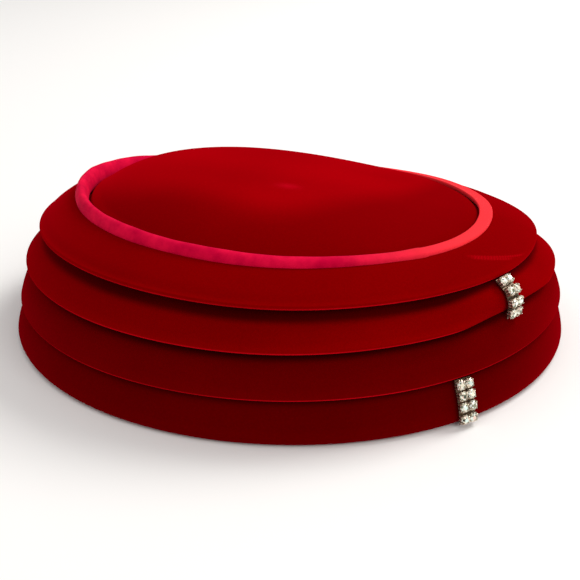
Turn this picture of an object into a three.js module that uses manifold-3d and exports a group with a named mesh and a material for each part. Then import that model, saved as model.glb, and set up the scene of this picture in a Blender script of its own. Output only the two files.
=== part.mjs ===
// Pillbox hat in red velvet: a domed crown, four folded tiers laid like shingles, a corded ring
// round the tip, and two short two-row stone trims that wrap a tier each.
// Millimetres, +Z up. The origin is the middle of the base, on the surface that the hat rests on.
// The front is -Y, the long way of the oval. The trims sit at the front, towards -X.

import * as THREE from "three";
import { mergeVertices } from "three/addons/utils/BufferGeometryUtils.js";
import Module from "manifold-3d";

const wasm = await Module();
wasm.setup();

// Driving dimensions
const OVAL_STEP = 10; // at every level the half width is this much less than the half length
const TIER_CLOTH = 2.2; // a doubled, folded strip of velvet
const CROWN_CLOTH = 1.8; // velvet and its stiff backing
const CORD_DIAMETER = 4.5;
const CORD_HALF_LENGTH = 72.4;
const CORD_HEIGHT = 44.2;
const CORD_SIDES = 8;
const STATIONS = 52; // sections round the oval

// How the soft hat has settled: at each height, how far a level climbs for each millimetre
// towards +X and +Y, how far it has moved, and how deep it sags at three places round the oval.
const SETTLED = [
  { height: 0, riseX: 0, riseY: 0, shiftX: 0, shiftY: 0, left: 0, back: 0, front: 0 },
  { height: 14, riseX: 0.0115, riseY: -0.0043, shiftX: 0.4, shiftY: -0.6, left: 1.5, back: 0.3, front: 0 },
  { height: 27, riseX: 0.0086, riseY: -0.0038, shiftX: 0.8, shiftY: -1.2, left: 3.5, back: 0.7, front: 4.2 },
  { height: 37, riseX: -0.0173, riseY: 0.0112, shiftX: 0.7, shiftY: -1.1, left: 8.2, back: 3.2, front: 0.3 },
  { height: 45, riseX: -0.0375, riseY: 0.0228, shiftX: 0.3, shiftY: -0.4, left: 6.8, back: -0.3, front: -0.7 },
  { height: 55, riseX: -0.138, riseY: 0.13, shiftX: 0.3, shiftY: -0.4, left: 6.8, back: 0, front: 0 },
];

// Where each sag is deepest, as a share of a half turn from the front by way of -X, and how
// narrow it is: the power of the cosine that fades it out.
const SAGS = {
  left: { centre: 1.39, narrowness: 1.25 },
  back: { centre: 0.958, narrowness: 4.3 },
  front: { centre: 1.65, narrowness: 3.3 },
};

// Each tier hangs from its tucked end, under the tier above, out and down to its fold.
const TIERS = {
  tier_1: { tuckedAt: [75.1, 43.1], leaves: [79.5, 42.1], drops: [85.3, 38.7], foldAt: [88, 38] },
  tier_2: { tuckedAt: [79.6, 38.4], leaves: [85.6, 35.6], drops: [91.4, 30], foldAt: [94.3, 28.2] },
  tier_3: { tuckedAt: [89.6, 26.4], leaves: [91.6, 24.8], drops: [95.6, 20.8], foldAt: [97.3, 15.2] },
};
const TIER_STEPS = 4;
const FOLD_STEPS = 3;

// Where the upper trim is sewn round its tier, the fold is pulled in and the face puffs out.
// The pull holds over an even stretch and dies away, in degrees to each side.
const CINCH = {
  tier: "tier_2",
  angle: 10.8,
  even: 5,
  fades: 18,
  section: { tuckedAt: [79.6, 38.4], leaves: [86.6, 35.9], drops: [93.4, 33.6], foldAt: [91.8, 27.6] },
};

// The bottom tier turns under the crown's edge and up inside it, as a hem.
const BOTTOM_TIER = {
  tuckedAt: [93.3, 18.2],
  leaves: [93.7, 14.5],
  drops: [97.8, 8.6],
  foldAt: [98.8, 2.7],
};
const TURN_RADIUS = 1.6;
const TURN_STEPS = 2; // to a quarter turn
const HEM_TURN_AT = [94.2, 2.7];
const HEM_TOP_AT = [89.4, 12.6];

// The crown: a dome inside the cord, then the wall behind the tiers down to the hem.
const DOME_TOP = 52;
const DOME_HEIGHT = 9;
const DOME_HALF_LENGTH = 68.5;
const DOME_FULLNESS = 3; // power of the dome's curve: higher is flatter on top
const DOME_STEPS = 5;
const CROWN_WALL = [
  [69.4, 41.6],
  [72, 40.4],
  [75, 38.2],
  [80.5, 33.9],
  [85, 30],
  [87, 26],
  [91.2, 15.4],
  [96.5, 2.9],
];

// Each trim is a ribbon of soldered cups, two stones wide, that follows its tier and curls under.
const TRIMS = {
  upper: { tier: "tier_2", angle: CINCH.angle, startsAt: 9.35 },
  lower: { tier: "tier_4", angle: 26.2, startsAt: 5.3 },
};
const ROWS = 4;
const ROW_PITCH = 3.3;
const COLUMNS = 2;
const COLUMN_PITCH = 3.1;
const TRIM_WIDTH = 6.2;
const TRIM_PLATE = 0.7;
const TRIM_GAP = 0.4;
const CUP = { radius: 1.5, bore: 1.25, height: 1.3, sunk: 0.3, sides: 8 };
const STONE = { girdle: 1.1, table: 0.65, point: 0.2, waist: 0.95, crown: 1.1, top: 1.6 };

const VELVET = { color: 0x8c0008, roughness: 0.95, metalness: 0 };
const SATIN = { color: 0xe01238, roughness: 0.55, metalness: 0 };
const SILVER = { color: 0xc9c5ba, roughness: 0.3, metalness: 1 };
const CRYSTAL = { color: 0xf2f2ea, roughness: 0.05, metalness: 0 };

const SEAT_STEP = 0.2; // how far off a seat looks to find which way its trim runs
const SAME_POINT = 1e-3;
const ON_AXIS = 1e-6;

const radians = THREE.MathUtils.degToRad;
const degrees = THREE.MathUtils.radToDeg;
const mix = (a, b, t) => a + (b - a) * t;

// The half width that goes with a half length: an even step, closing to nothing in the dome.
function halfWidth(halfLength) {
  return halfLength - OVAL_STEP * Math.min(1, halfLength / CORD_HALF_LENGTH);
}

// The settled shape at one height, between the two nearest rows of the table.
function settledAt(height) {
  const last = SETTLED.length - 1;
  let row = 0;
  while (row < last - 1 && height > SETTLED[row + 1].height) row += 1;
  const low = SETTLED[row];
  const high = SETTLED[row + 1];
  const t = THREE.MathUtils.clamp((height - low.height) / (high.height - low.height), 0, 1);
  const blend = {};
  for (const column of Object.keys(low)) blend[column] = mix(low[column], high[column], t);
  return blend;
}

// A point of the hat: an angle round the oval, a half length and a height before settling.
function hatPoint(angle, halfLength, height) {
  const level = settledAt(height);
  const x = -halfWidth(halfLength) * Math.sin(angle);
  const y = -halfLength * Math.cos(angle);
  let sag = 0;
  for (const [place, { centre, narrowness }] of Object.entries(SAGS)) {
    sag += level[place] * Math.max(0, Math.cos(angle - centre * Math.PI)) ** narrowness;
  }
  const reach = Math.min(1, halfLength / CORD_HALF_LENGTH) ** 6;
  const z = height + level.riseX * x + level.riseY * y - sag * reach;
  return new THREE.Vector3(x + level.shiftX, y + level.shiftY, z);
}

// A cubic curve through a section, as [half length, height] pairs.
function sectionCurve({ tuckedAt, leaves, drops, foldAt }, steps) {
  const corners = [tuckedAt, leaves, drops, foldAt].map(([x, y]) => new THREE.Vector2(x, y));
  return new THREE.CubicBezierCurve(...corners).getPoints(steps);
}

// A tier's section at an angle round the oval: its own, or the cinched one near the upper trim.
function sectionAt(name, angle) {
  const own = sectionCurve(TIERS[name], TIER_STEPS);
  if (name !== CINCH.tier) return own;
  const away = Math.abs(((degrees(angle) - CINCH.angle + 540) % 360) - 180);
  const pull = 1 - THREE.MathUtils.smoothstep(away, CINCH.even, CINCH.fades);
  return sectionCurve(CINCH.section, TIER_STEPS).map((point, i) => own[i].clone().lerp(point, pull));
}

// The outline of a strip of cloth of even thickness along a line, with a round or a square end.
function clothOutline(line, thickness, roundEnd) {
  const half = thickness / 2;
  const outer = [];
  const inner = [];
  const normals = line.slice(1).map((point, i) => {
    const along = point.clone().sub(line[i]).normalize();
    return new THREE.Vector2(-along.y, along.x);
  });
  line.forEach((point, i) => {
    const before = normals[Math.max(i - 1, 0)];
    const after = normals[Math.min(i, normals.length - 1)];
    const mitre = before.clone().add(after).normalize();
    mitre.multiplyScalar(half / mitre.dot(after));
    outer.push(point.clone().add(mitre));
    inner.push(point.clone().sub(mitre));
  });
  const end = [];
  if (roundEnd) {
    const centre = line[line.length - 1];
    const start = outer[outer.length - 1].clone().sub(centre);
    for (let i = 1; i <= FOLD_STEPS; i += 1) {
      const turn = (-Math.PI * i) / (FOLD_STEPS + 1);
      end.push(start.clone().rotateAround(new THREE.Vector2(), turn).add(centre));
    }
  }
  return [...outer, ...end, ...inner.reverse()];
}

// A closed ring: at each station round the oval, the outline that outlineAt gives for its angle,
// joined to the next. Points on the axis meet in one, which closes a dome.
function ringGeometry(outlineAt) {
  const positions = [];
  const outline = outlineAt(0);
  const rows = Array.from({ length: STATIONS }, (_, station) => {
    const angle = (2 * Math.PI * station) / STATIONS;
    return outlineAt(angle).map((point) => {
      const place = hatPoint(angle, Math.max(point.x, 0), point.y);
      positions.push(place.x, place.y, place.z);
      return positions.length / 3 - 1;
    });
  });
  outline.forEach((point, j) => {
    if (point.x < ON_AXIS) rows.forEach((row) => (row[j] = rows[0][j]));
  });
  const index = [];
  const triangle = (a, b, c) => {
    if (a !== b && b !== c && c !== a) index.push(a, b, c);
  };
  const poles = outline[0].x < ON_AXIS;
  rows.forEach((row, i) => {
    const next = rows[(i + 1) % rows.length];
    for (let j = 0; j < row.length - (poles ? 1 : 0); j += 1) {
      const k = (j + 1) % row.length;
      triangle(row[j], next[k], row[k]);
      triangle(row[j], next[j], next[k]);
    }
  });
  const geometry = new THREE.BufferGeometry();
  geometry.setAttribute("position", new THREE.Float32BufferAttribute(positions, 3));
  geometry.setIndex(index);
  geometry.computeVertexNormals();
  return geometry;
}

// The bottom tier's line: down the outside, round under the crown's edge, and up inside.
function bottomTierLine() {
  const line = sectionCurve(BOTTOM_TIER, TIER_STEPS);
  const [foldX, foldHeight] = BOTTOM_TIER.foldAt;
  const turn = (centreX, from) => {
    for (let i = 1; i <= TURN_STEPS; i += 1) {
      const angle = from - (i * Math.PI) / 2 / TURN_STEPS;
      const x = centreX + TURN_RADIUS * Math.cos(angle);
      const height = foldHeight + TURN_RADIUS * Math.sin(angle);
      line.push(new THREE.Vector2(x, height));
    }
  };
  turn(foldX - TURN_RADIUS, 0);
  line.push(new THREE.Vector2(HEM_TURN_AT[0] + TURN_RADIUS, foldHeight - TURN_RADIUS));
  turn(HEM_TURN_AT[0] + TURN_RADIUS, -Math.PI / 2);
  line.push(new THREE.Vector2(...HEM_TOP_AT));
  return line;
}

// The crown's line, from the top of the dome to its lower edge.
function crownLine() {
  const line = [];
  for (let i = 0; i <= DOME_STEPS; i += 1) {
    const reach = Math.sin((i / DOME_STEPS) * (Math.PI / 2));
    const height = DOME_TOP - DOME_HEIGHT * reach ** DOME_FULLNESS;
    line.push(new THREE.Vector2(DOME_HALF_LENGTH * reach, height));
  }
  return [...line, ...CROWN_WALL.map(([x, y]) => new THREE.Vector2(x, y))];
}

// The cord's section, round about its centre.
function cordOutline() {
  const outline = [];
  for (let i = 0; i < CORD_SIDES; i += 1) {
    const turn = (-2 * Math.PI * i) / CORD_SIDES;
    const x = CORD_HALF_LENGTH + (CORD_DIAMETER / 2) * Math.cos(turn);
    const height = CORD_HEIGHT + (CORD_DIAMETER / 2) * Math.sin(turn);
    outline.push(new THREE.Vector2(x, height));
  }
  return outline;
}

// The line down the middle of a trim, clear of its tier's cloth, carried on round the fold.
function trimLine(trim) {
  const hangsFree = trim.tier in TIERS;
  const bottom = sectionCurve(BOTTOM_TIER, TIER_STEPS);
  const tierPath = hangsFree ? sectionAt(trim.tier, radians(trim.angle)) : bottom;
  const clear = TIER_CLOTH / 2 + TRIM_GAP + TRIM_PLATE / 2;
  const line = clothOutline(tierPath, clear * 2, true);
  const points = line.slice(0, TIER_STEPS + 2 + FOLD_STEPS);
  return new THREE.CatmullRomCurve3(points.map(({ x, y }) => new THREE.Vector3(x, y, 0)));
}

// A point on a trim: so far along its line, so far across it.
function trimPoint(trim, line, along, across) {
  const section = line.getPointAt(along / line.getLength());
  return hatPoint(radians(trim.angle) + across / section.x, section.x, section.y);
}

// The frame of a stone's seat: across, along and out of the trim, with its origin on the plate.
function seatMatrix(trim, line, along, across) {
  const place = trimPoint(trim, line, along, across);
  const down = trimPoint(trim, line, along + SEAT_STEP, across).sub(place).normalize();
  const side = trimPoint(trim, line, along, across + SEAT_STEP).sub(place).normalize();
  const out = new THREE.Vector3().crossVectors(side, down).normalize();
  side.crossVectors(down, out).normalize();
  place.addScaledVector(out, TRIM_PLATE / 2);
  return new THREE.Matrix4().makeBasis(side, down, out).setPosition(place);
}

// The seats of a trim, row by row.
function seats(trim, line) {
  const places = [];
  for (let row = 0; row < ROWS; row += 1) {
    const along = trim.startsAt + (row + 0.5) * ROW_PITCH;
    for (let column = 0; column < COLUMNS; column += 1) {
      const across = (column - (COLUMNS - 1) / 2) * COLUMN_PITCH;
      places.push(seatMatrix(trim, line, along, across));
    }
  }
  return places;
}

// The thin metal plate that the cups stand on.
function plateGeometry(trim, line) {
  const from = trim.startsAt;
  const to = from + ROWS * ROW_PITCH;
  const steps = ROWS * 2 + 1;
  const side = TRIM_WIDTH / 2;
  const corners = [[-side, 0], [side, 0], [side, -TRIM_PLATE], [-side, -TRIM_PLATE]];
  const positions = [];
  const index = [];
  for (let i = 0; i <= steps; i += 1) {
    const along = mix(from, to, i / steps);
    for (const [across, lift] of corners) {
      const seat = seatMatrix(trim, line, along, across);
      const corner = new THREE.Vector3(0, 0, lift).applyMatrix4(seat);
      positions.push(corner.x, corner.y, corner.z);
    }
    if (i === steps) break;
    for (let face = 0; face < 4; face += 1) {
      const a = i * 4 + face;
      const b = i * 4 + ((face + 1) % 4);
      index.push(a, b, b + 4, a, b + 4, a + 4);
    }
  }
  const end = steps * 4;
  index.push(0, 2, 1, 0, 3, 2, end, end + 1, end + 2, end, end + 2, end + 3);
  const geometry = new THREE.BufferGeometry();
  geometry.setAttribute("position", new THREE.Float32BufferAttribute(positions, 3));
  geometry.setIndex(index);
  return geometry;
}

// A turned piece whose axis is +Z.
function turned(profile, sides) {
  const points = profile.map(([radius, height]) => new THREE.Vector2(radius, height));
  return new THREE.LatheGeometry(points, sides).rotateX(Math.PI / 2);
}

const cupGeometry = turned(
  [
    [CUP.bore, -CUP.sunk],
    [CUP.radius, -CUP.sunk],
    [CUP.radius, CUP.height],
    [CUP.bore, CUP.height],
    [CUP.bore, -CUP.sunk],
  ],
  CUP.sides,
);

const stoneGeometry = turned(
  [
    [0, STONE.point],
    [STONE.girdle, STONE.waist],
    [STONE.girdle, STONE.crown],
    [STONE.table, STONE.top],
    [0, STONE.top],
  ],
  CUP.sides,
);

function solidOf(geometry) {
  const bare = geometry.clone();
  for (const name of Object.keys(bare.attributes)) {
    if (name !== "position") bare.deleteAttribute(name);
  }
  const merged = mergeVertices(bare, SAME_POINT);
  const triangles = [];
  for (let i = 0; i < merged.index.count; i += 3) {
    const corners = [0, 1, 2].map((k) => merged.index.getX(i + k));
    if (new Set(corners).size === 3) triangles.push(...corners);
  }
  const vertProperties = merged.attributes.position.array;
  const triVerts = new Uint32Array(triangles);
  return new wasm.Manifold(new wasm.Mesh({ numProp: 3, vertProperties, triVerts }));
}

function geometryOf(solid) {
  const mesh = solid.getMesh();
  const geometry = new THREE.BufferGeometry();
  geometry.setAttribute("position", new THREE.BufferAttribute(mesh.vertProperties, 3));
  geometry.setIndex(new THREE.BufferAttribute(mesh.triVerts, 1));
  geometry.computeVertexNormals();
  return geometry;
}

// The plate with a cup soldered at each seat.
function settingsGeometry(trim, line) {
  let solid = solidOf(plateGeometry(trim, line));
  for (const seat of seats(trim, line)) {
    solid = solid.add(solidOf(cupGeometry.clone().applyMatrix4(seat)));
  }
  return geometryOf(solid);
}

const hat = new THREE.Group();

function add(name, geometry, finish) {
  const mesh = new THREE.Mesh(geometry, new THREE.MeshStandardMaterial(finish));
  mesh.name = name;
  hat.add(mesh);
  return mesh;
}

add("crown", ringGeometry(() => clothOutline(crownLine(), CROWN_CLOTH, false)), VELVET);
add("piping", ringGeometry(cordOutline), SATIN);
for (const name of Object.keys(TIERS)) {
  add(name, ringGeometry((angle) => clothOutline(sectionAt(name, angle), TIER_CLOTH, true)), VELVET);
}
add("tier_4", ringGeometry(() => clothOutline(bottomTierLine(), TIER_CLOTH, false)), VELVET);
for (const [place, trim] of Object.entries(TRIMS)) {
  const line = trimLine(trim);
  add(place + "_trim_settings", settingsGeometry(trim, line), SILVER);
  seats(trim, line).forEach((seat, i) => {
    add(place + "_trim_stone_" + (i + 1), stoneGeometry, CRYSTAL).applyMatrix4(seat);
  });
}

export default hat;
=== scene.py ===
import math

import bmesh
import bpy
import numpy as np
from mathutils import Matrix, Vector


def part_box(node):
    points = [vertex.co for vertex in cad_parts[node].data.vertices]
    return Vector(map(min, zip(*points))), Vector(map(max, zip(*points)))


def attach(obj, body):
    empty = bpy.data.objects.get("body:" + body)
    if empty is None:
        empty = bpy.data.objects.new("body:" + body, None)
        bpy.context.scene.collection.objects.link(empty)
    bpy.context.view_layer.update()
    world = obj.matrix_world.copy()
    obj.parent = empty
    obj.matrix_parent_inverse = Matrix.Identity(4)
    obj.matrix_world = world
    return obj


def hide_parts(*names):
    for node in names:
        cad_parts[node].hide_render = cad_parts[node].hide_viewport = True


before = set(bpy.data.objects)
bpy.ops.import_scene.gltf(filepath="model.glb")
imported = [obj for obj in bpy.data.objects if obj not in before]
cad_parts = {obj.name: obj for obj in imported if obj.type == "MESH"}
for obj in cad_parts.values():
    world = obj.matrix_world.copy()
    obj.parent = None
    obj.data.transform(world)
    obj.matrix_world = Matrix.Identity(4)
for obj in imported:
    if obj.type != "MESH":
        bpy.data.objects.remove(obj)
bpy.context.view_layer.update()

# ---------------------------------------------------------------------------------------------
# The crown: one blocked shell, an oval domed tip inside the corded ring and a sloping side band
# that the tiers are sewn to. It is silk velvet outside over a stiffened cotton backing, steamed
# over a wooden block, and its lower edge is caught inside the bottom tier.

MM = 0.001
hat_low, hat_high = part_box("tier_4")
HAT_REACH = (hat_high.y - hat_low.y) / 2 / MM   # half the hat's length, at the bottom tier
OVAL_STEP = 10                                  # the half width is this much less
CORD_INSET = 27.5                               # how far inside the hat's edge the cord lies
CORD_REACH = HAT_REACH - CORD_INSET

# How the soft hat has settled: at each height, how far a level climbs for each millimetre
# towards +X and +Y, how far it has moved, and how deep it sags at three places.
SETTLED = {
    "height": [0, 14, 27, 37, 45, 55],
    "rise_x": [0, 0.0115, 0.0086, -0.0173, -0.0375, -0.138],
    "rise_y": [0, -0.0043, -0.0038, 0.0112, 0.0228, 0.13],
    "shift_x": [0, 0.4, 0.8, 0.7, 0.3, 0.3],
    "shift_y": [0, -0.6, -1.2, -1.1, -0.4, -0.4],
    "left": [0, 1.5, 3.5, 8.2, 6.8, 6.8],
    "back": [0, 0.3, 0.7, 3.2, -0.3, 0],
    "front": [0, 0, 4.2, 0.3, -0.7, 0],
}
# Where each sag is deepest, in half turns from the front by way of -X, and how narrow it is.
SAGS = {"left": (1.39, 1.25), "back": (0.958, 4.3), "front": (1.65, 3.3)}
HANDMADE = 0.28     # how far hands and years have let an edge wander, up and down
STATIONS = 480
ROUND = np.linspace(0, 2 * math.pi, STATIONS, endpoint=False)[:, None]


def wander(angle, along, seed, most=9):
    """A slow uneven wave of about one unit, which repeats round the oval and drifts along."""
    rng = np.random.default_rng(seed)
    total = 0 * angle + 0 * along
    for count in range(2, most + 2):
        phase = rng.uniform(0, 2 * math.pi)
        drift = rng.uniform(-0.12, 0.12)
        weight = rng.uniform(0.5, 1) / count**0.7
        total = total + weight * np.sin(count * angle + drift * along + phase)
    return total


def settle(angle, reach, height):
    """Places points of the hat, in metres: an angle round the oval from the front by way of the
    wearer's right, a half length and a height, both in millimetres and before settling."""
    level = {
        key: np.interp(height, SETTLED["height"], values)
        for key, values in SETTLED.items()
        if key != "height"
    }
    inward = np.clip(reach / CORD_REACH, 0, 1)
    x = -(reach - OVAL_STEP * inward) * np.sin(angle)
    y = -reach * np.cos(angle)
    sag = 0
    for place, (centre, narrowness) in SAGS.items():
        sag = sag + level[place] * np.clip(np.cos(angle - centre * math.pi), 0, 1) ** narrowness
    loose = HANDMADE * np.clip(height / 20, 0, 1) * inward**6 * wander(angle, height, 3)
    z = height + level["rise_x"] * x + level["rise_y"] * y - sag * inward**6 + loose
    x = x + level["shift_x"] + 0 * z
    y = y + level["shift_y"] + 0 * z
    return np.stack([x, y, z], axis=-1) * MM


def rounded_strip(line, thickness, fold_steps):
    """The outline of a strip of cloth along a line of (reach, height) points, round at its end."""
    line = np.array(line, float)
    along = np.gradient(line, axis=0)
    along /= np.linalg.norm(along, axis=1)[:, None]
    side = np.stack([-along[:, 1], along[:, 0]], axis=1) * thickness / 2
    turn = np.linspace(0, -math.pi, fold_steps + 2)[1:-1]
    last = side[-1]
    end = np.stack(
        [
            last[0] * np.cos(turn) - last[1] * np.sin(turn),
            last[0] * np.sin(turn) + last[1] * np.cos(turn),
        ],
        axis=1,
    )
    return np.concatenate([line + side, line[-1] + end, (line - side)[::-1]])


def loft(name, points, closed=True):
    """A mesh from a grid of points: stations round the hat, each with its section's points."""
    stations, count = points.shape[:2]
    index = np.arange(stations * count).reshape(stations, count)
    following = np.roll(index, -1, axis=0)
    steps = count if closed else count - 1
    across = [(j, (j + 1) % count) for j in range(steps)]
    faces = [
        (index[i, j], following[i, j], following[i, k], index[i, k])
        for i in range(stations)
        for j, k in across
    ]
    mesh = bpy.data.meshes.new(name)
    mesh.from_pydata(points.reshape(-1, 3).tolist(), [], [tuple(map(int, f)) for f in faces])
    mesh.shade_smooth()
    piece = bpy.data.objects.new(name, mesh)
    bpy.context.scene.collection.objects.link(piece)
    return piece


def paint(piece, name, values):
    """Keeps one number at each point of a piece for its material to read."""
    attribute = piece.data.attributes.new(name, "FLOAT", "POINT")
    attribute.data.foreach_set("value", np.ravel(values).astype(np.float32))


def node_maker(material):
    """The material's node tree, emptied, with a short way to add a node and to join sockets."""
    material.use_nodes = True
    tree = material.node_tree
    tree.nodes.clear()

    def add(kind, **inputs):
        node = tree.nodes.new("ShaderNode" + kind)
        for key, value in inputs.items():
            if key in node.inputs:
                node.inputs[key].default_value = value
            else:
                setattr(node, key, value)
        return node

    return add, tree.links.new


def velvet(name, deep, lit, pressed_and_highlight_red=0.5, sheen=0.35):
    """Silk velvet: short dense pile over a woven back. Its red goes from deep to lit with a painted sheen
    and painted shade, in slow random patches, and is paler where pressed and along painted fold highlights."""
    material = bpy.data.materials.new(name)
    add, join = node_maker(material)
    place = add("TexCoord")
    patches = add("TexNoise", Scale=24, Detail=3, Roughness=0.5)
    join(place.outputs["Object"], patches.inputs["Vector"])
    pile = add("TexNoise", Scale=1500, Detail=2, Roughness=0.6)
    join(place.outputs["Object"], pile.inputs["Vector"])
    # painted sheen and painted shade, mixed below with slow random patches
    painted_sheen_and_shade = add("Attribute", attribute_name="painted_sheen_and_shade")
    mottle = add("MapRange")
    mottle.inputs["From Min"].default_value = 0.3
    mottle.inputs["From Max"].default_value = 0.7
    mottle.inputs["To Min"].default_value = -0.09
    mottle.inputs["To Max"].default_value = 0.09
    join(patches.outputs["Fac"], mottle.inputs["Value"])
    painted_light_and_mottle = add("Math", operation="ADD", use_clamp=True)
    join(painted_sheen_and_shade.outputs["Fac"], painted_light_and_mottle.inputs[0])
    join(mottle.outputs["Result"], painted_light_and_mottle.inputs[1])
    face = add("Mix", data_type="RGBA")
    face.inputs[6].default_value = (*deep, 1)
    face.inputs[7].default_value = (*lit, 1)
    join(painted_light_and_mottle.outputs["Value"], face.inputs[0])
    # paler red for pressed pile, and for painted highlights along the folds
    pressed_and_highlight = add("Attribute", attribute_name="pressed_and_highlight")
    pressed_and_highlit = add("Mix", data_type="RGBA")
    pressed_and_highlit.inputs[7].default_value = (pressed_and_highlight_red, 0.002, 0.012, 1)
    join(pressed_and_highlight.outputs["Fac"], pressed_and_highlit.inputs[0])
    join(face.outputs[2], pressed_and_highlit.inputs[6])
    speckle = add("MapRange")
    speckle.inputs["From Min"].default_value = 0.3
    speckle.inputs["From Max"].default_value = 0.7
    speckle.inputs["To Min"].default_value = 0.92
    speckle.inputs["To Max"].default_value = 1.06
    join(pile.outputs["Fac"], speckle.inputs["Value"])
    grained = add("Mix", data_type="RGBA", blend_type="MULTIPLY")
    grained.inputs[0].default_value = 1
    join(pressed_and_highlit.outputs[2], grained.inputs[6])
    join(speckle.outputs["Result"], grained.inputs[7])
    bump = add("Bump", Strength=0.25, Distance=0.00015)
    join(pile.outputs["Fac"], bump.inputs["Height"])
    backing = add("Attribute", attribute_name="backing")
    threads = add("TexNoise", Scale=900, Detail=1)
    join(place.outputs["Object"], threads.inputs["Vector"])
    cotton = add("ValToRGB")
    cotton.color_ramp.elements[0].position = 0.35
    cotton.color_ramp.elements[0].color = (0.12, 0.004, 0.006, 1)
    cotton.color_ramp.elements[1].position = 0.65
    cotton.color_ramp.elements[1].color = (0.19, 0.008, 0.012, 1)
    join(threads.outputs["Fac"], cotton.inputs["Fac"])
    sides = add("Mix", data_type="RGBA")
    join(backing.outputs["Fac"], sides.inputs[0])
    join(grained.outputs[2], sides.inputs[6])
    join(cotton.outputs["Color"], sides.inputs[7])
    cloth = add("BsdfPrincipled", Roughness=0.95)
    cloth.inputs["Specular IOR Level"].default_value = 0
    cloth.inputs["Sheen Weight"].default_value = sheen
    cloth.inputs["Sheen Roughness"].default_value = 0.5
    cloth.inputs["Sheen Tint"].default_value = (0.8, 0.0, 0.015, 1)
    join(sides.outputs[2], cloth.inputs["Base Color"])
    join(bump.outputs["Normal"], cloth.inputs["Normal"])
    out = add("OutputMaterial")
    join(cloth.outputs["BSDF"], out.inputs["Surface"])
    return material


def ramp(value, low, high):
    """A smooth climb from 0 at low to 1 at high."""
    t = np.clip((value - low) / (high - low), 0, 1)
    return t * t * (3 - 2 * t)


CROWN_CLOTH = 1.8
DOME_TOP = 52
DOME_DROP = 9
DOME_REACH = HAT_REACH - 31.4
DOME_FULLNESS = 3
SIDE_BAND = [
    (30.5, 41.6),
    (27.9, 40.4),
    (24.9, 38.2),
    (19.4, 33.9),
    (14.9, 30),
    (12.9, 26),
    (8.7, 15.4),
    (3.4, 2.9),
]   # inset from the hat's edge, and height
# The tip's red, and its red under the painted sheen on its far half.
TIP_DEEP = (0.17, 0.0, 0.0)
TIP_LIT = (0.31, 0.0, 0.001)
SHEEN_TURNS_AT = -34      # the tip's painted sheen fades to deep red about here, towards the front and further back to either side
SHEEN_CURL = 0.0115       # and further back to either side
SHEEN_BLUR = 24
MARK_AT = (3.4, -16.9)  # a small bright mark where the nap has been pressed
MARK_SIZE = (3.6, 2.4)

dome_reach = np.sin(np.linspace(0, math.pi / 2, 52))
dome = np.stack([DOME_REACH * dome_reach, DOME_TOP - DOME_DROP * dome_reach**DOME_FULLNESS], axis=1)
band = np.array([(HAT_REACH - inset, height) for inset, height in SIDE_BAND])
steps = np.concatenate([[0], np.cumsum(np.linalg.norm(np.diff(band, axis=0), axis=1))])
fine = np.linspace(0, steps[-1], 36)
band = np.stack([np.interp(fine, steps, band[:, k]) for k in (0, 1)], axis=1)
crown_outline = rounded_strip(np.concatenate([dome, band]), CROWN_CLOTH, 3)
crown_outline[:, 0] = np.clip(crown_outline[:, 0], 0, None)
crown_places = settle(ROUND, crown_outline[None, :, 0], crown_outline[None, :, 1])
crown = loft("crown", crown_places, closed=False)

VIEW_BEARING = math.radians(55.6)       # round the hat from the front, by way of the wearer's right
view_cos, view_sin = math.cos(VIEW_BEARING), math.sin(VIEW_BEARING)
right = (crown_places[..., 0] * view_cos - crown_places[..., 1] * view_sin) / MM
back = (crown_places[..., 0] * view_sin + crown_places[..., 1] * view_cos) / MM
# The tip's far half, as seen from the camera's side, gets a painted sheen that fades towards the front along
# an uneven line, with slow cloudy changes, and painted shade next to the cord.
uneven = 3 * np.sin(right / 17 + 0.6) + 2 * np.sin(right / 8 + 2) - SHEEN_CURL * (right + 6) ** 2
tip_sheen_and_shade = ramp(back + uneven, SHEEN_TURNS_AT - SHEEN_BLUR / 2, SHEEN_TURNS_AT + SHEEN_BLUR / 2)
cloudy = np.sin(right / 13 + back / 19) * np.sin(right / 29 - back / 11 + 1)
tip_sheen_and_shade = tip_sheen_and_shade * (0.8 + 0.2 * cloudy)
# painted shade on the tip next to the cord
rim = ramp(crown_outline[None, :, 0], CORD_REACH - 11, CORD_REACH - 3)
tip_sheen_and_shade = tip_sheen_and_shade * (1 - 0.5 * rim) + 0 * right
mark = np.exp(-(((right - MARK_AT[0]) / MARK_SIZE[0]) ** 2) - ((back - MARK_AT[1]) / MARK_SIZE[1]) ** 2)
half_way = crown_outline.shape[0] // 2
inside = (np.arange(crown_outline.shape[0]) > half_way + 2)[None, :] + 0 * ROUND
paint(crown, "backing", inside)
# the tip's painted sheen and painted shade, and its pressed mark
paint(crown, "painted_sheen_and_shade", tip_sheen_and_shade)
paint(crown, "pressed_and_highlight", 0.5 * mark)
edges = bmesh.new()
edges.from_mesh(crown.data)
bmesh.ops.remove_doubles(edges, verts=edges.verts, dist=1e-7)
bmesh.ops.recalc_face_normals(edges, faces=edges.faces)
edges.to_mesh(crown.data)
edges.free()
crown.data.materials.append(velvet("crown_velvet", TIP_DEEP, TIP_LIT))
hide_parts("crown")
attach(crown, "root")

# ---------------------------------------------------------------------------------------------
# The tiers: four bias strips of velvet, each folded double along its lower edge, steamed to the
# oval and sewn to the side band one over the next like shingles. The bottom one also turns under
# the crown's edge and is hemmed up inside. The second is cinched where the upper trim holds it.

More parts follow.
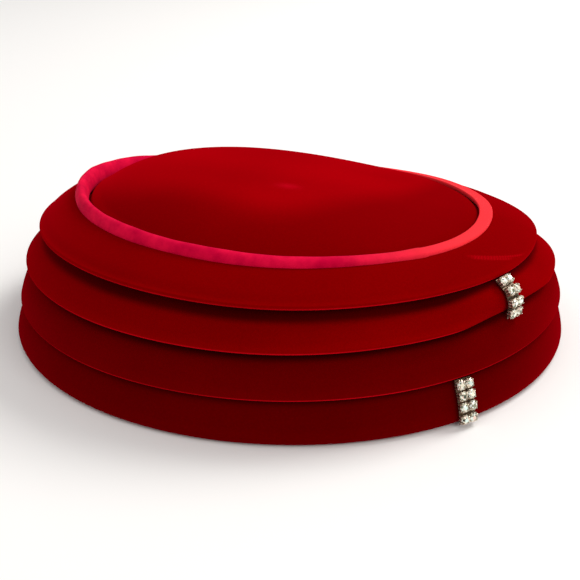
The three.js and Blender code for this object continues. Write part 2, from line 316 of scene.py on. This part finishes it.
TIER_CLOTH = 2.2
TIERS = {
    "tier_1": [(26, 42.9), (20.9, 42.1), (14.6, 38.7), (11.9, 38)],
    "tier_2": [(20.3, 38.4), (14.3, 35.6), (8.5, 30), (5.6, 28.2)],
    "tier_3": [(10.3, 26.4), (8.3, 24.8), (4.3, 20.8), (2.6, 15.2)],
    "tier_4": [(6.6, 18.2), (6.2, 14.5), (2.1, 8.6), (1.1, 2.7)],
}   # where a tier is tucked, leaves, drops and folds: inset from the hat's edge, and height
CINCHED = [(20.3, 38.4), (13.3, 35.9), (6.5, 33.6), (8.1, 27.6)]
CINCH_AT = 10.8         # degrees round from the front
CINCH_EVEN = 5
CINCH_FADES = 18
TURN_RADIUS = 1.6
HEM_TURN_AT = (5.7, 2.7)
HEM_TOP_AT = (10.5, 12.6)


def section(corners, count):
    """A tier's line from its tucked end out and down to its fold, as (reach, height) points."""
    a, b, c, d = (np.array([HAT_REACH - inset, height]) for inset, height in corners)
    t = np.linspace(0, 1, count)[:, None]
    return (1 - t) ** 3 * a + 3 * (1 - t) ** 2 * t * b + 3 * (1 - t) * t**2 * c + t**3 * d


def turned_hem(line):
    """Carries the bottom tier's line round under the edge and up inside as a hem."""
    line = list(line)
    fold = np.array([HAT_REACH - TIERS["tier_4"][3][0] - TURN_RADIUS, TIERS["tier_4"][3][1]])
    hem = np.array([HAT_REACH - HEM_TURN_AT[0] + TURN_RADIUS, HEM_TURN_AT[1]])
    for centre, start in ((fold, 0), (hem, -math.pi / 2)):
        for turn in np.linspace(0, math.pi / 2, 9)[1 if start == 0 else 0:]:
            way = np.array([math.cos(start - turn), math.sin(start - turn)])
            line.append(centre + TURN_RADIUS * way)
    top = np.array([HAT_REACH - HEM_TOP_AT[0], HEM_TOP_AT[1]])
    last = line[-1]
    return np.array(line + [last + (top - last) * t for t in np.linspace(0, 1, 10)[1:]])


# Each tier's velvet: its red in the painted shade of the fold above and at its own fold, and the
# share of the way down its face where that painted shade begins and ends. The lower tiers are
# painted darker, as shade for faces turned further from the light above.
TIER_REDS = {
    "tier_1": (0.08, 0.205, -0.10, 0.10),
    "tier_2": (0.045, 0.21, 0.42, 0.56),
    "tier_3": (0.03, 0.125, 0.20, 0.42),
    "tier_4": (0.025, 0.112, 0.30, 0.52),
}
FOLD_HIGHLIGHT_RED = 0.8       # the painted highlight along a fold
HIGHLIGHT_FACES = -38     # degrees above level that the brightest of that painted highlight faces
HIGHLIGHT_SPREAD = 24
PRESSED = 0.6           # how thin the fold is pressed, as a share of the cloth
CREASES = [(13.5, 0.25, -4.3, 0.99), (13.0, 0.33, 1.0, 0.86)]   # fine pressed lines across
                        # the top tier near the trims: degrees round and share down, at each end
CREASE_WIDTH = 0.022
FACE_STEPS = 40
FOLD_STEPS = 13
for name, corners in TIERS.items():
    plain = section(corners, FACE_STEPS)
    cinched = section(CINCHED, FACE_STEPS)
    outlines = []
    for angle in ROUND[:, 0]:
        away = abs((math.degrees(angle) - CINCH_AT + 540) % 360 - 180)
        pull = 1 - ramp(away, CINCH_EVEN, CINCH_FADES) if name == "tier_2" else 0
        line = plain + (cinched - plain) * pull
        if name == "tier_4":
            line = turned_hem(line)
        share = np.linspace(0, 1, len(line))
        thin = 1 - (1 - PRESSED) * ramp(share, 0.6, 1) if name != "tier_4" else 1 + 0 * share
        outlines.append(rounded_strip(line, TIER_CLOTH * thin[:, None], FOLD_STEPS))
    outlines = np.array(outlines)
    tier = loft(name + "_cloth", settle(ROUND, outlines[..., 0], outlines[..., 1]))
    count = outlines.shape[1]
    deep, lit, shade_starts, shade_ends = TIER_REDS[name]
    down_face = np.clip(np.arange(count) / (FACE_STEPS - 1), 0, 1)[None, :]
    # Painted shade under the fold above, then a painted sheen on the last of the face before its own fold.
    shaded = 0.85 * ramp(down_face, shade_starts, shade_ends) + 0.15 * ramp(down_face, 0.8, 1)
    # A painted highlight round each fold, brightest where the fold faces at a set tilt below level, uneven
    # along the fold and none on the bottom tier; the top tier's pressed creases are added to it.
    last_step = plain[-1] - plain[-2]
    face_turn = math.degrees(math.atan2(last_step[0], -last_step[1]))
    fold_share = np.clip((np.arange(count) - FACE_STEPS + 1) / (FOLD_STEPS + 1), 0, 1)[None, :]
    faces_up = face_turn - 180 * fold_share
    fold = np.exp(-(((faces_up - HIGHLIGHT_FACES) / HIGHLIGHT_SPREAD) ** 2))
    patchy = 0.75 + 0.25 * wander(ROUND, 0, 11 + int(name[-1]), 14) / 1.5
    degrees_round = (np.degrees(ROUND) + 180) % 360 - 180
    creased = 0 * ROUND + 0 * down_face
    for start, high, end, low in CREASES if name == "tier_1" else []:
        along = (degrees_round - start) / (end - start)
        off = down_face - (high + (low - high) * along)
        within = ramp(along, 0, 0.2) * (1 - ramp(along, 0.8, 1))
        creased = creased + within * np.exp(-((off / CREASE_WIDTH) ** 2)) * (down_face < 1)
    # the fold's painted highlight, with the pressed creases
    fold = np.clip(fold * (0.85 if name != "tier_4" else 0) * patchy + 0.3 * creased, 0, 1)
    paint(tier, "painted_sheen_and_shade", shaded + 0 * ROUND)
    paint(tier, "pressed_and_highlight", fold)
    tier.data.materials.append(velvet(name + "_velvet", (deep, 0, 0), (lit, 0, 0), FOLD_HIGHLIGHT_RED))
    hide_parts(name)
    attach(tier, "root")

# ---------------------------------------------------------------------------------------------
# The piping: a soft cotton cord in a bias strip of satin, sewn into the seam between the tip and
# the top tier all the way round. The strip's ends lap in one low step, sewn down by hand.

CORD_RADIUS = 2.25
CORD_HEIGHT = 44.2
LAP_AT = math.radians(22.5)
LAP_THICK = 0.3
turns = np.linspace(0, 2 * math.pi, 24, endpoint=False)[None, :]
lapped = ramp(ROUND, LAP_AT - 0.012, LAP_AT + 0.012) * (1 - ramp(ROUND, LAP_AT + 0.02, LAP_AT + 0.14))
girth = CORD_RADIUS + 0.09 * wander(ROUND, 0, 21, 16) + LAP_THICK * lapped
girth = girth + 0.02 * np.sin(3 * turns + 40 * ROUND)
piping = loft(
    "piping_satin",
    settle(ROUND, CORD_REACH + girth * np.cos(-turns), CORD_HEIGHT + girth * np.sin(-turns)),
)
satin = bpy.data.materials.new("piping_satin")
add, join = node_maker(satin)
place = add("TexCoord")
rub = add("TexNoise", Scale=160, Detail=3, Roughness=0.6)
join(place.outputs["Object"], rub.inputs["Vector"])
tones = add("ValToRGB")
tones.color_ramp.elements[0].position = 0.35
tones.color_ramp.elements[0].color = (0.55, 0.0, 0.035, 1)
tones.color_ramp.elements[1].position = 0.68
tones.color_ramp.elements[1].color = (0.78, 0.004, 0.05, 1)
join(rub.outputs["Fac"], tones.inputs["Fac"])
# Painted light: a lighter, more orange red on the side towards the camera's right.
painted_light_right = add("Attribute", attribute_name="painted_light_right")
painted_light_tones = add("Mix", data_type="RGBA")
painted_light_tones.inputs[7].default_value = (0.98, 0.04, 0.045, 1)
join(painted_light_right.outputs["Fac"], painted_light_tones.inputs[0])
join(tones.outputs["Color"], painted_light_tones.inputs[6])
weave = add("TexNoise", Scale=2200, Detail=1)
join(place.outputs["Object"], weave.inputs["Vector"])
bump = add("Bump", Strength=0.15, Distance=0.0001)
join(weave.outputs["Fac"], bump.inputs["Height"])
cloth = add("BsdfPrincipled", Roughness=0.75)
cloth.inputs["Specular IOR Level"].default_value = 0.02
cloth.inputs["Sheen Weight"].default_value = 0.08
cloth.inputs["Sheen Tint"].default_value = (1, 0.05, 0.1, 1)
join(painted_light_tones.outputs[2], cloth.inputs["Base Color"])
join(bump.outputs["Normal"], cloth.inputs["Normal"])
out = add("OutputMaterial")
join(cloth.outputs["BSDF"], out.inputs["Surface"])
piping.data.materials.append(satin)
towards_right = -np.sin(ROUND) * view_cos + np.cos(ROUND) * view_sin
# painted light, growing towards the camera's right
paint(piping, "painted_light_right", 0.85 * ramp(towards_right, 0.1, 0.85) + 0 * turns)
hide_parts("piping")
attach(piping, "root")

# ---------------------------------------------------------------------------------------------
# The two trims: short lengths of two-row rhinestone banding, each curled over its tier and sewn
# down. Every stone sits in its own stamped cup with a ribbed wall and four prongs bent over the
# stone, and the cups are soldered to a thin backing strip. The gaps in the metal get painted shade.

CUP_RADIUS = 1.38
CUP_RIBS = 10
RIB_DEPTH = 0.13
CUP_FLOOR = -0.25
CUP_RIM = 1.25
CUP_WALL = 0.16
PRONG_FOOT = (1.52, 0.55)       # out from the cup's middle, and up from the strip
PRONG_BEND = (1.64, 1.5)
PRONG_TIP = (1.12, 1.85)
PRONG_RADIUS = 0.23
STRIP_WIDTH = 5.6
STRIP_THICK = 0.3
SEAT_BELOW = 0.9                # a stone's middle is this far above the strip
LOOSE_SEAT = 0.07               # radians that a cup may lean
TRIM_ROWS = 4


def seats_of(trim):
    """The seats of a trim's stones, found from the stones: for each a matrix whose axes run
    across the trim, down it and out of it, in millimetres."""
    middles = []
    for number in range(1, 2 * TRIM_ROWS + 1):
        low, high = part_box(f"{trim}_trim_stone_{number}")
        middles.append((low + high) / 2)
    rows = [(middles[2 * row] + middles[2 * row + 1]) / 2 for row in range(TRIM_ROWS)]
    places = []
    for number, middle in enumerate(middles):
        row = number // 2
        down = (rows[min(row + 1, TRIM_ROWS - 1)] - rows[max(row - 1, 0)]).normalized()
        side = (middles[2 * row + 1] - middles[2 * row]).normalized()
        out = side.cross(down).normalized()
        side = down.cross(out)
        axes = Matrix((side, down, out)).transposed() * MM
        place = Matrix.Translation(middle - out * SEAT_BELOW * MM) @ axes.to_4x4()
        places.append(place)
    return places


def add_tube(shape, unshaded, path, radii, sides, seat):
    """Adds a closed tube along a path of points to a mesh in the making, kept out of the painted shade."""
    rings = []
    for i, point in enumerate(path):
        along = (path[min(i + 1, len(path) - 1)] - path[max(i - 1, 0)]).normalized()
        first = along.orthogonal().normalized()
        second = along.cross(first)
        turns = [2 * math.pi * k / sides for k in range(sides)]
        rings.append(
            [
                shape.verts.new(seat @ (point + (first * math.cos(t) + second * math.sin(t)) * radii[i]))
                for t in turns
            ]
        )
    for low_ring, high_ring in zip(rings, rings[1:]):
        for k in range(sides):
            n = (k + 1) % sides
            shape.faces.new((low_ring[k], low_ring[n], high_ring[n], high_ring[k]))
    for ring in rings:
        for corner in ring:
            corner[unshaded] = 1
    shape.faces.new(rings[0][::-1])
    shape.faces.new(rings[-1])


def add_cup(shape, unshaded, seat):
    """A stamped cup: a ribbed wall with a rolled rim, open on top, and four prongs. Its ribs, rim and
    prongs are kept bright, and its grooves, floor and lower walls get painted shade."""
    sides = CUP_RIBS * 6
    profile = [
        (CUP_RADIUS, CUP_FLOOR, 0.3),
        (CUP_RADIUS, CUP_FLOOR + 0.2, 1),
        (CUP_RADIUS, CUP_RIM - 0.3, 1),
        (CUP_RADIUS + 0.03, CUP_RIM - 0.1, 0.5),
        (CUP_RADIUS - 0.05, CUP_RIM, 0),
        (CUP_RADIUS - CUP_WALL, CUP_RIM - 0.08, 0),
        (CUP_RADIUS - CUP_WALL, CUP_FLOOR + 0.3, 0),
        (0.3, CUP_FLOOR + 0.25, 0),
        (0.3, CUP_FLOOR, 0),
    ]
    rings = []
    for radius, up, ribbed in profile:
        ring = []
        for k in range(sides):
            turn = 2 * math.pi * k / sides
            square = (math.cos(turn) ** 4 + math.sin(turn) ** 4) ** -0.25
            far = radius * square + RIB_DEPTH * ribbed * math.cos(CUP_RIBS * turn)
            corner = shape.verts.new(seat @ Vector((far * math.cos(turn), far * math.sin(turn), up)))
            ridge = 0.5 + 0.5 * math.cos(CUP_RIBS * turn)
            corner[unshaded] = ridge if ribbed > 0.9 else float(up > CUP_RIM - 0.2)
            ring.append(corner)
        rings.append(ring)
    for low_ring, high_ring in zip(rings, rings[1:] + rings[:1]):
        for k in range(sides):
            n = (k + 1) % sides
            shape.faces.new((low_ring[k], low_ring[n], high_ring[n], high_ring[k]))
    for corner in range(4):
        turn = math.pi / 4 + corner * math.pi / 2
        way = Vector((math.cos(turn), math.sin(turn), 0))
        foot, bend, tip = (
            way * far + Vector((0, 0, up)) for far, up in (PRONG_FOOT, PRONG_BEND, PRONG_TIP)
        )
        path = [
            foot * (1 - t) ** 2 + bend * 2 * t * (1 - t) + tip * t * t for t in np.linspace(0, 1, 8)
        ]
        radii = [PRONG_RADIUS * (1 - 0.45 * t) for t in np.linspace(0, 1, 8)]
        add_tube(shape, unshaded, path, radii, 8, seat)


def add_strip(shape, places):
    """The thin backing strip that the cups are soldered to, from the first row to the last."""
    half = STRIP_WIDTH / 2
    edges = []
    for row in range(-1, TRIM_ROWS + 1):
        inside = min(max(row, 0), TRIM_ROWS - 1)
        first, second = places[2 * inside], places[2 * inside + 1]
        beyond = Vector((0, 1.6 * (row - inside), 0))
        ring = []
        for seat, across in ((first, -1), (second, 1)):
            centred = seat.copy()
            centred.translation = (first.translation + second.translation) / 2
            for up in ((0, -STRIP_THICK) if across < 0 else (-STRIP_THICK, 0)):
                ring.append(centred @ (Vector((across * half, 0, up)) + beyond))
        edges.append([shape.verts.new(corner) for corner in ring])
    for above, below in zip(edges, edges[1:]):
        for k in range(4):
            n = (k + 1) % 4
            shape.faces.new((above[k], above[n], below[n], below[k]))
    shape.faces.new(edges[0][::-1])
    shape.faces.new(edges[-1])


def add_stone(shape, seat):
    """A round cut stone: a table, two rows of crown facets, a girdle and a pointed back."""
    rings = [
        [(0.6, 1.78, (k + 0.5) / 8) for k in range(8)],
        [(1.0, 1.6, k / 8) for k in range(8)],
        [(1.3, 1.28, k / 16) for k in range(16)],
        [(1.3, 1.16, k / 16) for k in range(16)],
    ]
    made = [
        [
            shape.verts.new(
                seat @ Vector((r * math.cos(2 * math.pi * t), r * math.sin(2 * math.pi * t), up))
            )
            for r, up, t in ring
        ]
        for ring in rings
    ]
    table, mid, girdle, under = made
    shape.faces.new(table)
    for k in range(8):
        n = (k + 1) % 8
        shape.faces.new((mid[k], mid[n], table[k]))
        shape.faces.new((table[k], mid[n], table[n]))
        shape.faces.new((mid[k], girdle[2 * k], girdle[2 * k + 1]))
        shape.faces.new((mid[k], girdle[2 * k + 1], mid[n]))
        shape.faces.new((mid[n], girdle[2 * k + 1], girdle[(2 * k + 2) % 16]))
    point = shape.verts.new(seat @ Vector((0, 0, 0.15)))
    for k in range(16):
        n = (k + 1) % 16
        shape.faces.new((girdle[k], under[k], under[n], girdle[n]))
        shape.faces.new((under[k], point, under[n]))


silver = bpy.data.materials.new("setting_silver")
add, join = node_maker(silver)
place = add("TexCoord")
tarnish = add("TexNoise", Scale=700, Detail=3, Roughness=0.6)
join(place.outputs["Object"], tarnish.inputs["Vector"])
tones = add("ValToRGB")
tones.color_ramp.elements[0].position = 0.36
tones.color_ramp.elements[0].color = (0.42, 0.31, 0.2, 1)
tones.color_ramp.elements[1].position = 0.6
tones.color_ramp.elements[1].color = (0.98, 0.9, 0.78, 1)
join(tarnish.outputs["Fac"], tones.inputs["Fac"])
# Painted shade: the cups' grooves, floors and lower walls get a dark brown, and the ribs, rims and prongs
# keep the metal's tones.
unshaded = add("Attribute", attribute_name="unshaded")
bright = add("Mix", data_type="RGBA")
bright.inputs[6].default_value = (0.13, 0.09, 0.06, 1)
join(unshaded.outputs["Fac"], bright.inputs[0])
join(tones.outputs["Color"], bright.inputs[7])
metal = add("BsdfPrincipled", Roughness=0.25, Metallic=0.85)
join(bright.outputs[2], metal.inputs["Base Color"])
out = add("OutputMaterial")
join(metal.outputs["BSDF"], out.inputs["Surface"])

foiled = bpy.data.materials.new("foiled_crystal")
add, join = node_maker(foiled)
# Each facet gets a random tone from dark to bright: painted glints and painted dark reflections.
glint = add("Attribute", attribute_name="glint")
tones = add("ValToRGB")
stops = [
    (0.0, (0.02, 0.025, 0.015)),
    (0.25, (0.22, 0.26, 0.16)),
    (0.4, (0.9, 0.62, 0.55)),
    (0.6, (1.0, 0.97, 0.75)),
    (0.8, (0.78, 0.95, 0.88)),
    (1.0, (1.0, 1.0, 0.95)),
]
for position, tone in stops[1:-1]:
    tones.color_ramp.elements.new(position)
for element, (position, tone) in zip(tones.color_ramp.elements, stops):
    element.position = position
    element.color = (*tone, 1)
join(glint.outputs["Fac"], tones.inputs["Fac"])
glass = add("BsdfPrincipled", Roughness=0.1, Metallic=0.3)
join(tones.outputs["Color"], glass.inputs["Base Color"])
out = add("OutputMaterial")
join(glass.outputs["BSDF"], out.inputs["Surface"])

cast = np.random.default_rng(5)
for trim in ("upper", "lower"):
    places = []
    for seat in seats_of(trim):
        lean, roll = cast.uniform(-LOOSE_SEAT, LOOSE_SEAT, 2)
        places.append(seat @ Matrix.Rotation(lean, 4, "X") @ Matrix.Rotation(roll, 4, "Y"))
    shape = bmesh.new()
    unshaded = shape.verts.layers.float.new("unshaded")
    for seat in places:
        add_cup(shape, unshaded, seat)
    add_strip(shape, seats_of(trim))
    bmesh.ops.recalc_face_normals(shape, faces=shape.faces)
    mesh = bpy.data.meshes.new(trim + "_trim_cups")
    shape.to_mesh(mesh)
    shape.free()
    mesh.materials.append(silver)
    cups = bpy.data.objects.new(trim + "_trim_cups", mesh)
    bpy.context.scene.collection.objects.link(cups)
    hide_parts(trim + "_trim_settings")
    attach(cups, "root")
    for number, seat in enumerate(places, 1):
        shape = bmesh.new()
        add_stone(shape, seat @ Matrix.Rotation(cast.uniform(0, math.pi), 4, "Z"))
        bmesh.ops.recalc_face_normals(shape, faces=shape.faces)
        mesh = bpy.data.meshes.new(f"{trim}_trim_crystal_{number}")
        shape.to_mesh(mesh)
        shape.free()
        # random tones on the facets, for the painted glints and reflections
        facets = mesh.attributes.new("glint", "FLOAT", "FACE")
        facets.data.foreach_set("value", cast.uniform(0, 1, len(mesh.polygons)).astype(np.float32))
        mesh.materials.append(foiled)
        stone = bpy.data.objects.new(f"{trim}_trim_crystal_{number}", mesh)
        bpy.context.scene.collection.objects.link(stone)
        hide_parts(f"{trim}_trim_stone_{number}")
        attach(stone, "root")

# ---------------------------------------------------------------------------------------------
# Floor and light: a plain pale studio floor, soft light from above and from the right.

floor_mesh = bpy.data.meshes.new("floor")
FLOOR_SIZE = 6
half = FLOOR_SIZE / 2
corners = [(-half, -half, 0), (half, -half, 0), (half, half, 0), (-half, half, 0)]
floor_mesh.from_pydata(corners, [], [(0, 1, 2, 3)])
floor = bpy.data.objects.new("floor", floor_mesh)
bpy.context.scene.collection.objects.link(floor)
pale = bpy.data.materials.new("pale_floor")
add, join = node_maker(pale)
paper = add("BsdfPrincipled", Roughness=0.9)
paper.inputs["Base Color"].default_value = (0.95, 0.945, 0.935, 1)
paper.inputs["Specular IOR Level"].default_value = 0.1
out = add("OutputMaterial")
join(paper.outputs["BSDF"], out.inputs["Surface"])
floor_mesh.materials.append(pale)

world = bpy.data.worlds.new("studio")
bpy.context.scene.world = world
world.use_nodes = True
world.node_tree.nodes["Background"].inputs["Color"].default_value = (1, 0.98, 0.97, 1)
world.node_tree.nodes["Background"].inputs["Strength"].default_value = 0.58

CAMERA_YAW = math.radians(0.5)
CAMERA_PITCH = math.radians(24.3)
CAMERA_ROLL = math.radians(-2.2)
CAMERA_DISTANCE = 0.333
CAMERA_HEIGHT = 0.1578
to_right = Vector((math.cos(VIEW_BEARING), -math.sin(VIEW_BEARING), 0))
to_back = Vector((math.sin(VIEW_BEARING), math.cos(VIEW_BEARING), 0))


def softbox(name, right, back, up, size, watts, colour):
    """A square area light aimed at the hat, placed by how it stands to the camera's view."""
    data = bpy.data.lights.new(name, "AREA")
    data.size = size
    data.energy = watts
    data.color = colour
    lamp = bpy.data.objects.new(name, data)
    lamp.location = to_right * right + to_back * back + Vector((0, 0, up))
    aim = Vector((0, 0, 0.03)) - lamp.location
    lamp.rotation_mode = "QUATERNION"
    lamp.rotation_quaternion = aim.to_track_quat("-Z", "Y")
    bpy.context.scene.collection.objects.link(lamp)


softbox("key", 0.9, 0.5, 1.1, 0.7, 14, (1, 0.98, 0.95))
softbox("front", 0.7, -0.9, 0.9, 0.8, 5, (1, 0.98, 0.96))
softbox("fill", -0.6, 0.2, 1.2, 1.0, 0.7, (0.98, 0.98, 1))

# ---------------------------------------------------------------------------------------------
# The camera, standing in front of the wearer's right and looking down at the hat.

camera_data = bpy.data.cameras.new("camera")
camera_data.sensor_width = 36
camera_data.lens = 62.07
camera = bpy.data.objects.new("camera", camera_data)
bpy.context.scene.collection.objects.link(camera)
turned = (
    Matrix.Rotation(-VIEW_BEARING - CAMERA_YAW, 4, "Z")
    @ Matrix.Rotation(math.pi / 2 - CAMERA_PITCH, 4, "X")
    @ Matrix.Rotation(CAMERA_ROLL, 4, "Z")
)
camera.matrix_world = Matrix.Translation(-to_back * CAMERA_DISTANCE + Vector((0, 0, CAMERA_HEIGHT))) @ turned
bpy.context.scene.camera = camera
bpy.context.scene.view_settings.view_transform = "Standard"
